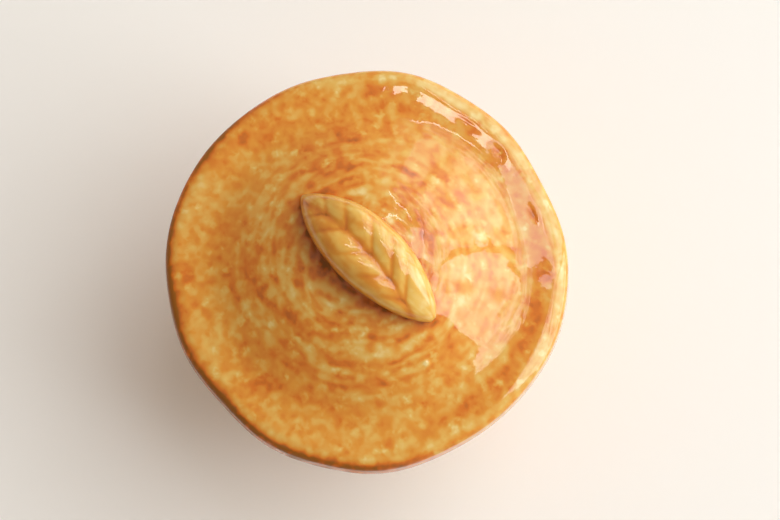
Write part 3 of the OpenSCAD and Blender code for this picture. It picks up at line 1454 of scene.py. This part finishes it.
    def stem(self) -> bpy.types.Object:
        """Build the stem, coved out to meet the lid and rising into the leaf.

        Returns:
            The piece.
        """
        turn = np.radians(np.linspace(0.0, 90.0, self.stem_rings))[:, None]
        around = (np.arange(self.stem_columns) * TURN / self.stem_columns)[None, :]
        rise = (self.stem_top_z - self.land_z) * (1.0 - np.cos(turn))
        spread = 1.0 - np.sin(turn)
        reach = [w + (f - w) * spread for w, f in zip(self.stem_waist, self.stem_foot)]
        points = np.stack(
            [
                reach[0] * np.cos(around),
                reach[1] * np.sin(around),
                self.land_z + rise + np.zeros_like(around),
            ],
            axis=-1,
        )
        pool = np.full(points.shape[:2], self.stem_pool)
        mesh = grid_mesh("knob_stem_skin", points, pool)
        return place_piece(mesh, Body.LID, [self.stem_glaze])


def area_lamp(
    name: str, width: float, height: float, radiance: float, tint: str
) -> bpy.types.Object:
    """Make a rectangle of light that the camera doesn't see.

    Args:
        name: The lamp's name.
        width: Its size along its own x, in metres.
        height: Its size along its own y, in metres.
        radiance: How bright its face is.
        tint: Its colour, as a hex code.

    Returns:
        The lamp, at the origin and facing down.
    """
    light = bpy.data.lights.new(name, "AREA")
    light.shape = "RECTANGLE"
    light.size = width
    light.size_y = height
    light.energy = AREA_GAIN * radiance * light.size * light.size_y
    light.color = linear(tint)[:3]
    lamp = bpy.data.objects.new(name, light)
    lamp.visible_camera = False
    bpy.context.scene.collection.objects.link(lamp)
    return lamp


@dataclass(frozen=True)
class Pane:
    """One upright pane of light beside the cup, in metres in the window's plane."""

    name: str
    right: float
    left: float
    low: float
    high: float
    radiance: float
    nearer: float = 0.0
    lean: float = 0.0
    dapple: float = 0.6
    dapple_size: float = 0.13
    dapple_span: Span = (0.38, 0.62)
    tint: str = "#F0F8F8"

    def hang(self, turn: float, distance: float) -> None:
        """Hang the pane.

        Args:
            turn: Direction of the window from the cup, in degrees.
            distance: Distance of the window's plane from the cup.
        """
        angle = math.radians(turn)
        toward = Vector((math.cos(angle), math.sin(angle), 0.0))
        left = Vector((-math.sin(angle), math.cos(angle), 0.0))
        up = Vector((0.0, 0.0, 1.0))
        width = self.left - self.right
        lamp = area_lamp(self.name, width, self.high - self.low, self.radiance, self.tint)
        lamp.data.use_nodes = True
        tree = lamp.data.node_tree
        place = add_node(tree, "ShaderNodeNewGeometry").outputs["Position"]
        noise = add_node(
            tree,
            "ShaderNodeTexNoise",
            {"Vector": place, "Scale": 1.0 / self.dapple_size, "Detail": 1.0},
        )
        share = add_node(
            tree,
            "ShaderNodeMapRange",
            {
                "Value": noise.outputs["Fac"],
                "From Min": self.dapple_span[0],
                "From Max": self.dapple_span[1],
                "To Min": 1.0 - self.dapple,
                "To Max": 1.0 + self.dapple,
            },
        )
        feed(tree, tree.nodes["Emission"], {"Strength": share.outputs[0]})
        middle = toward * (distance - self.nearer) + left * (self.left + self.right) / 2.0
        middle += up * (self.high + self.low) / 2.0
        facing = Matrix((-left, up, toward)).transposed().to_4x4()
        leaning = Matrix.Rotation(-math.radians(self.lean), 4, "Z")
        lamp.matrix_world = Matrix.Translation(middle) @ facing @ leaning


@dataclass(frozen=True)
class Skylight:
    """One level panel of light over the cup, in metres from the cup's axis."""

    name: str
    turn: float
    near: float
    far: float
    width: float
    height: float
    radiance: float
    aside: float = 0.0
    tint: str = "#FFFDF8"

    def hang(self) -> None:
        """Hang the panel, facing straight down."""
        lamp = area_lamp(self.name, self.far - self.near, self.width, self.radiance, self.tint)
        reach = Matrix.Translation(((self.far + self.near) / 2.0, self.aside, self.height))
        lamp.matrix_world = Matrix.Rotation(math.radians(self.turn), 4, "Z") @ reach


@dataclass
class Studio:
    """The pale floor, the soft window light and the camera, in metres and degrees."""

    azimuth: float = 43.5
    elevation: float = 80.0
    distance: float = 0.5
    view_w: float = 0.1935
    aim_z: float = 0.0625
    aim_right: float = 0.0058
    aim_up: float = 0.00205
    sensor_w: float = 36.0
    floor_hex: str = "#FCF7F4"
    floor_size: float = 30.0
    floor_roughness: float = 0.9
    floor_shine: float = 0.2
    window_turn: float = 63.5
    window_distance: float = 0.6
    panes: tuple[Pane, ...] = (
        Pane("window_far_right", -0.64, -0.34, 0.09, 1.2, 2.5, dapple=0.2),
        Pane("window_far_right_top", -0.69, -0.34, 1.2, 2.35, 2.4, dapple=0.2),
        Pane("window_right", -0.34, -0.05, 0.09, 2.4, 1.8),
        Pane("window_over_bar", -0.05, -0.01, 1.15, 1.85, 1.8),
        Pane("window_middle", -0.01, 0.2, 0.09, 2.6, 1.6),
        Pane("window_left", 0.2, 0.5, 0.09, 1.85, 1.38),
        Pane("curtain", 0.5, 0.8, 0.09, 1.85, 0.75),
        Pane("curtain_fold", 0.8, 1.15, 0.09, 1.85, 0.25),
        Pane("curtain_gap", 0.73, 0.79, 1.55, 2.41, 6.0, 0.01, 16.0, 0.5),
    )
    skylights: tuple[Skylight, ...] = (
        Skylight("bright_skylight", 121.0, 0.42, 0.52, 0.17, 1.66, 5.5),
        Skylight("pale_ceiling", 133.5, 0.272, 0.5, 0.35, 1.66, 2.3, -0.275, "#EEF2FF"),
    )
    fill_stops: Stops = ((0.0, "#8A8076"), (0.3, "#B0A89C"), (1.0, "#98928A"))
    fill_shaded: float = 0.7
    fill_lit: float = 1.72

    def floor(self) -> None:
        """Lay the plain floor."""
        half = self.floor_size / 2.0
        mesh = bpy.data.meshes.new("floor")
        corners = [(-half, -half, 0.0), (half, -half, 0.0), (half, half, 0.0), (-half, half, 0.0)]
        mesh.from_pydata(corners, [], [(0, 1, 2, 3)])
        floor = bpy.data.objects.new("floor", mesh)
        bpy.context.scene.collection.objects.link(floor)
        material = bpy.data.materials.new("pale_matt_table")
        material.use_nodes = True
        feed(
            material.node_tree,
            material.node_tree.nodes["Principled BSDF"],
            {
                "Base Color": linear(self.floor_hex),
                "Roughness": self.floor_roughness,
                "Specular IOR Level": self.floor_shine,
            },
        )
        mesh.materials.append(material)

    def world(self) -> None:
        """Fill the shade softly and warmly, darkest low down and away from the window."""
        world = bpy.data.worlds.new("soft_fill")
        world.use_nodes = True
        tree = world.node_tree
        place = add_node(tree, "ShaderNodeTexCoord").outputs["Generated"]
        height = add_node(tree, "ShaderNodeSeparateXYZ", {0: place}).outputs["Z"]
        ramp = add_node(tree, "ShaderNodeValToRGB", {"Fac": height}, self.fill_stops)
        angle = math.radians(self.window_turn)
        aside = add_node(
            tree,
            "ShaderNodeVectorMath",
            {0: place, 1: (math.cos(angle), math.sin(angle), 0.0)},
            operation="DOT_PRODUCT",
        )
        share = add_node(
            tree,
            "ShaderNodeMapRange",
            {
                "Value": aside.outputs["Value"],
                "From Min": -1.0,
                "To Min": self.fill_shaded,
                "To Max": self.fill_lit,
            },
        )
        feed(
            tree,
            tree.nodes["Background"],
            {"Color": ramp.outputs["Color"], "Strength": share.outputs[0]},
        )
        bpy.context.scene.world = world

    def camera(self) -> None:
        """Set the camera over the lid, at the photograph's angle."""
        turn = math.radians(self.azimuth)
        lift = math.radians(self.elevation)
        right = Vector((math.cos(turn), math.sin(turn), 0.0))
        back = Vector(
            (
                math.sin(turn) * math.cos(lift),
                -math.cos(turn) * math.cos(lift),
                math.sin(lift),
            )
        )
        up = back.cross(right)
        aim = Vector((0.0, 0.0, self.aim_z)) + right * self.aim_right + up * self.aim_up
        data = bpy.data.cameras.new("camera")
        data.sensor_width = self.sensor_w
        data.lens = data.sensor_width * self.distance / self.view_w
        camera = bpy.data.objects.new("camera", data)
        facing = Matrix((right, up, back)).transposed().to_4x4()
        camera.matrix_world = Matrix.Translation(aim + back * self.distance) @ facing
        bpy.context.scene.collection.objects.link(camera)
        bpy.context.scene.camera = camera

    def build(self) -> None:
        """Set the whole stage."""
        bpy.context.scene.view_settings.view_transform = "Standard"
        self.floor()
        for pane in self.panes:
            pane.hang(self.window_turn, self.window_distance)
        for skylight in self.skylights:
            skylight.hang()
        self.world()
        self.camera()


def main() -> None:
    """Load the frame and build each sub-assembly."""
    logging.basicConfig(level=logging.INFO, format="%(name)s %(message)s")
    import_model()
    honey = AmberGlaze(
        "honey_glazed_stoneware",
        (
            (0.0, "#F2DE9A"),
            (0.25, "#E8BC60"),
            (0.5, "#E49832"),
            (0.72, "#DA7012"),
            (0.9, "#B85A10"),
            (1.0, "#8E541A"),
        ),
        (
            Dabs(2.4, 0.36, 0.72, -0.17),
            Dabs(3.6, 0.40, 0.76, 0.14),
            Dabs(1.6, 0.46, 0.24, 0.08),
        ),
        (Specks(3.2, 1.6, 2.6, -0.42),),
    ).material()
    leaf_glaze = AmberGlaze(
        "thin_honey_glaze",
        (
            (0.0, "#F4DE98"),
            (0.3, "#EABE5C"),
            (0.55, "#DE922A"),
            (0.8, "#CE7018"),
            (1.0, "#8E5014"),
        ),
        (
            Dabs(4.0, 0.50, 0.74, 0.12),
            Dabs(2.0, 0.53, 0.74, -0.08),
        ),
    ).material()
    clay = BareStoneware().material()
    cup = Cup(honey, clay, ClayNoise(11))
    cup.body()
    cup.foot()
    lid = PieCrustLid(honey, clay, ClayNoise(23))
    lid.crust()
    lid.locating_ring()
    knob = LeafKnob(leaf_glaze, honey, ClayNoise(37))
    knob.stem()
    knob.leaf()
    Studio().build()


if __name__ == "__main__":
    main()
